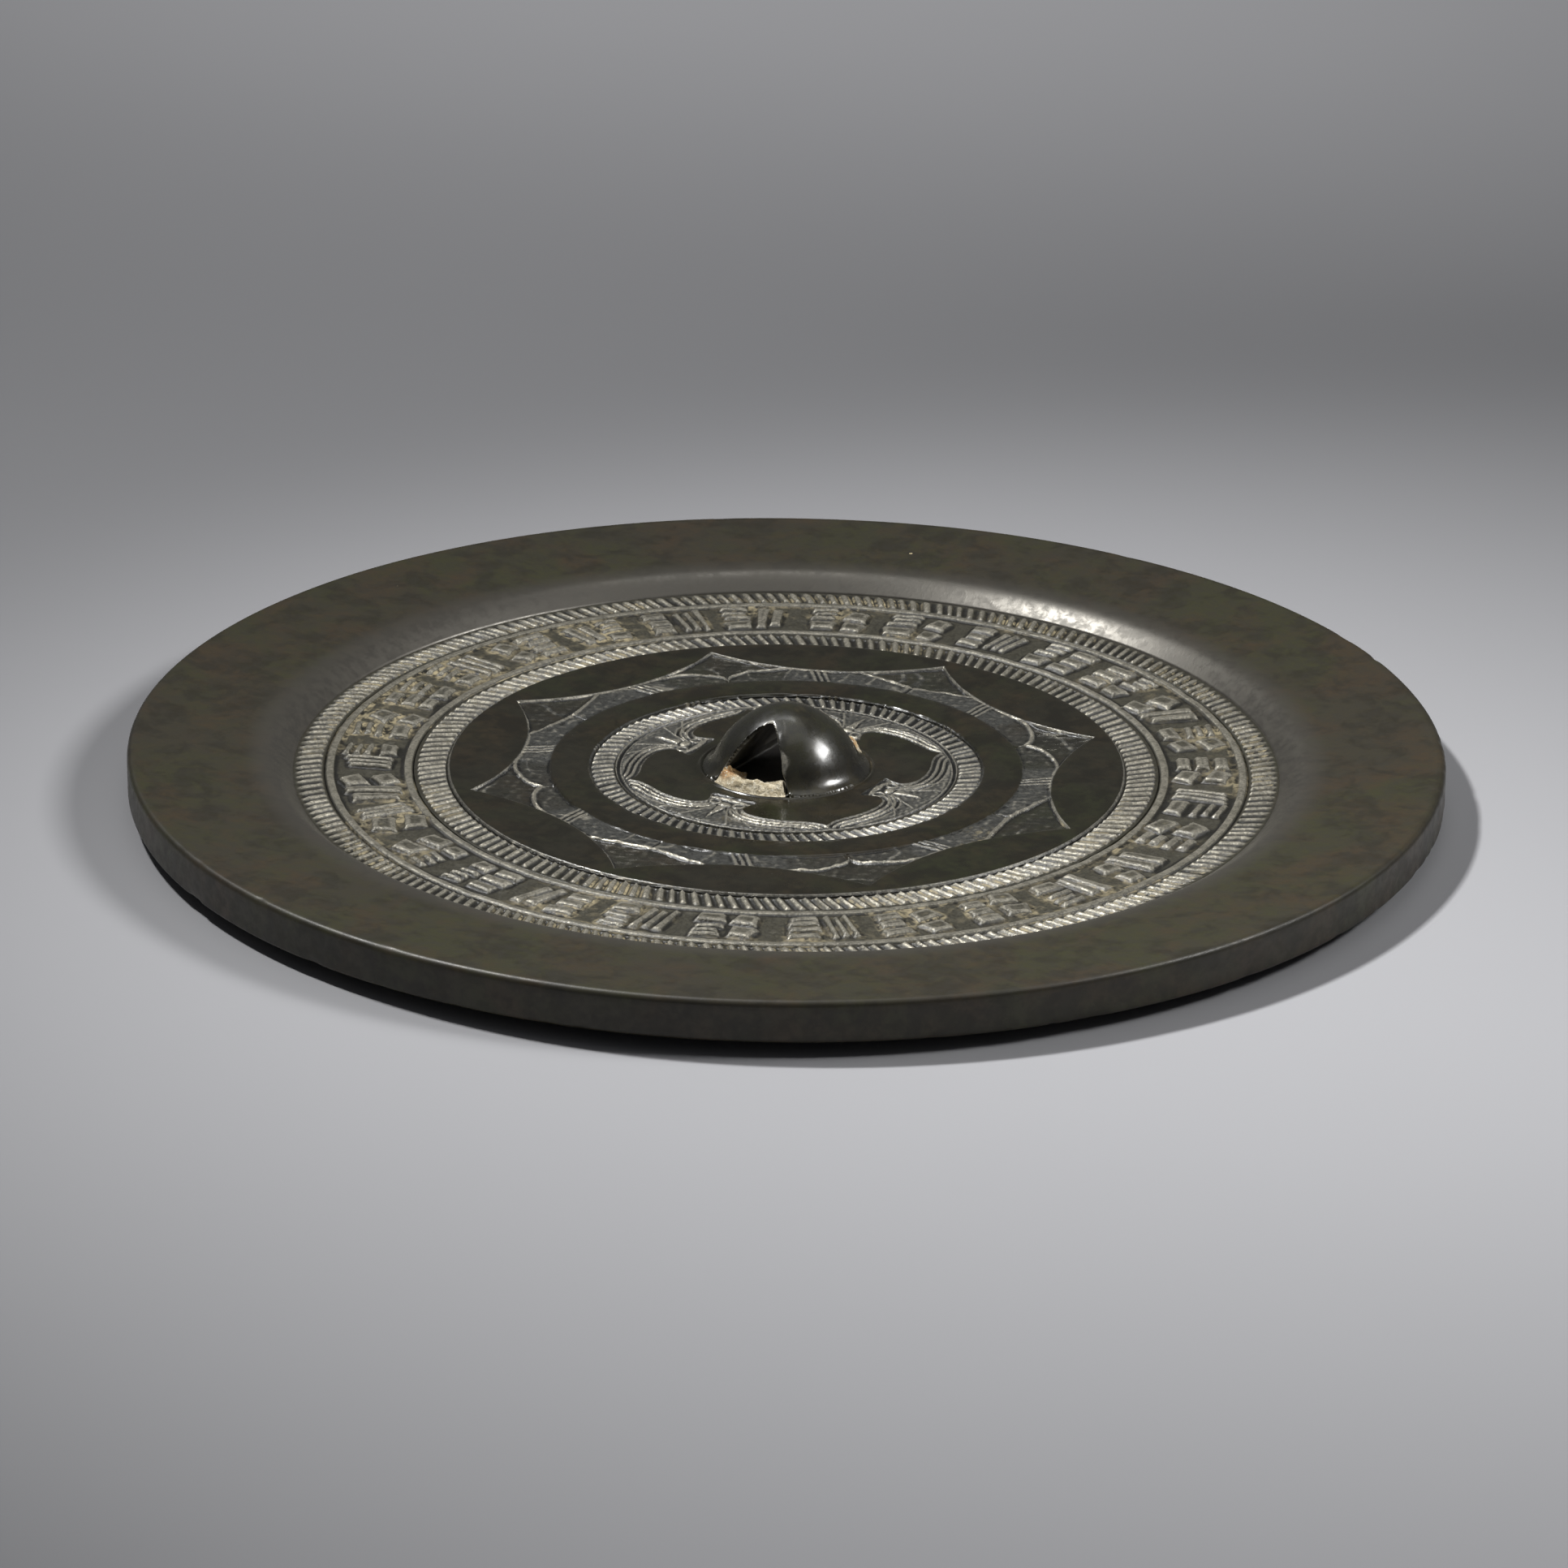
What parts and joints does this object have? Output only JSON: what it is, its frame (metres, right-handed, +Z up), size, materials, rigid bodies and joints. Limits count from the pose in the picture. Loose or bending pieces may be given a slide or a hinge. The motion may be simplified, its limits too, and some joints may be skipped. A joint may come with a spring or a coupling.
{
  "type": "bronze mirror",
  "caption": "Round cast bronze mirror lying face down, with a broad plain rim, a sunk back with arcs, comb bands and leaves, and a pierced domed knob.",
  "frame": {"origin": "centre of the flat spot on the underside that the mirror rests on, on the disc's axis", "axes": "+Z up along the disc's axis, out of the decorated back; Y along the straight hole through the knob; X across it"},
  "size_m": [0.186, 0.186, 0.0124],
  "materials": {
    "bronze": "dark olive-brown patinated high-tin bronze, satin on the rim, glossy on the arcs, leaves and knob, silvery grey with pale dust in the relief"
  },
  "bodies": {
    "root": {"mirror": "bronze"}
  },
  "joints": []
}
